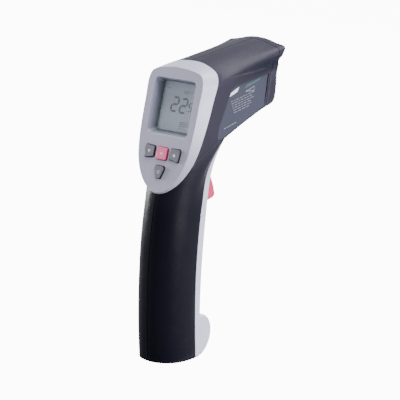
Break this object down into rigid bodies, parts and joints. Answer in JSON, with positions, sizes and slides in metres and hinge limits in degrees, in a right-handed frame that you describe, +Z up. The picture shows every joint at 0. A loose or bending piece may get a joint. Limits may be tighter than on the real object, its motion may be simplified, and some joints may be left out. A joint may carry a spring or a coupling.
{
  "type": "infrared thermometer",
  "caption": "Pistol-grip infrared thermometer with a recessed display, sprung keys and trigger, a hooded nose ring and a hinged battery door.",
  "frame": {"origin": "centre of the flat foot of the grip, on the surface it stands on", "axes": "+X to the right of a user who aims it, +Y horizontally towards the nose, +Z up; the barrel points 12 degrees above +Y"},
  "size_m": [0.0396, 0.0862, 0.1786],
  "materials": {
    "housing_slate": "fine moulded texture, satin",
    "bezel_grey": "smooth satin",
    "trim_grey": "smooth satin",
    "key_dark": "matte",
    "signal_red": "satin",
    "nose_dark": "fine moulded texture",
    "black_plastic": "matte",
    "clear_window": "clear acrylic, polished",
    "lcd_grey": "polariser, satin",
    "guide_white": "satin",
    "contact_rubber": "matte",
    "board_green": "solder mask",
    "chip_black": "matte",
    "contact_gold": "plated",
    "steel": "plain",
    "can_steel": "plated",
    "infrared_plastic": "milky, smooth",
    "laser_brass": "turned",
    "laser_glass": "polished",
    "ribbon_white": "satin",
    "label_film": "printed film",
    "battery_shell": "gloss paint",
    "lead_red": "satin",
    "pad_foam": "foam"
  },
  "bodies": {
    "instrument": {"right_housing": "housing_slate", "left_housing": "housing_slate", "housing_screws": "steel", "display_bezel": "bezel_grey", "display_window": "clear_window", "lcd_glass": "lcd_grey", "lcd_holder": "black_plastic", "backlight": "guide_white", "contact_strip": "contact_rubber", "main_board": "board_green", "board_screws": "steel", "board_chips": "chip_black", "key_contacts": "contact_gold", "buzzer": "black_plastic", "nose_ring": "nose_dark", "optics_bracket": "black_plastic", "lens_tube": "black_plastic", "infrared_lens": "infrared_plastic", "lens_retainer": "black_plastic", "detector_can": "can_steel", "sensor_board": "board_green", "laser_module": "laser_brass", "laser_lens": "laser_glass", "sensor_ribbon": "ribbon_white", "front_trim": "trim_grey", "door_pins": "steel", "trigger_pin": "steel", "trigger_spring": "steel", "trigger_switch": "black_plastic", "battery": "battery_shell", "battery_snap": "black_plastic", "battery_leads": "lead_red", "battery_pad": "pad_foam", "label_right": "label_film", "label_left": "label_film"},
    "key_down": {"button_down": "key_dark"},
    "key_laser": {"button_laser": "signal_red"},
    "key_up": {"button_up": "key_dark"},
    "key_mode": {"button_mode": "key_dark"},
    "trigger_lever": {"trigger": "signal_red"},
    "plunger": {"switch_plunger": "trim_grey"},
    "door": {"battery_door": "trim_grey"}
  },
  "joints": [
    {"name": "key_down_press", "type": "slide", "parent": "instrument", "child": "key_down", "axis": [0, 0.9919, -0.1271], "range_m": [0, 0.0009], "stiffness_N_per_m": 1200, "springref_m": -0.0003},
    {"name": "key_laser_press", "type": "slide", "parent": "instrument", "child": "key_laser", "axis": [0, 0.9919, -0.1271], "range_m": [0, 0.0009], "stiffness_N_per_m": 1200, "springref_m": -0.0003},
    {"name": "key_up_press", "type": "slide", "parent": "instrument", "child": "key_up", "axis": [0, 0.9919, -0.1271], "range_m": [0, 0.0009], "stiffness_N_per_m": 1200, "springref_m": -0.0003},
    {"name": "key_mode_press", "type": "slide", "parent": "instrument", "child": "key_mode", "axis": [0, 0.9919, -0.1271], "range_m": [0, 0.0009], "stiffness_N_per_m": 1200, "springref_m": -0.0003},
    {"name": "trigger_pull", "type": "hinge", "parent": "instrument", "child": "trigger_lever", "pos_m": [0, -0.00072, 0.10823], "axis": [-1, 0, 0], "range_deg": [0, 8], "stiffness_Nm_per_rad": 0.35, "springref_deg": -8.59, "deforming": ["trigger_spring"]},
    {"name": "switch_press", "type": "slide", "parent": "instrument", "child": "plunger", "axis": [0, -0.9781, -0.2079], "range_m": [0, 0.002]},
    {"name": "battery_door_hinge", "type": "hinge", "parent": "instrument", "child": "door", "pos_m": [0, 0.00741, 0.00215], "axis": [-1, 0, 0], "range_deg": [0, 75]}
  ],
  "couplings": [
    {"joint": "switch_press", "follows": "trigger_pull", "m_per_rad": 0.0135}
  ]
}
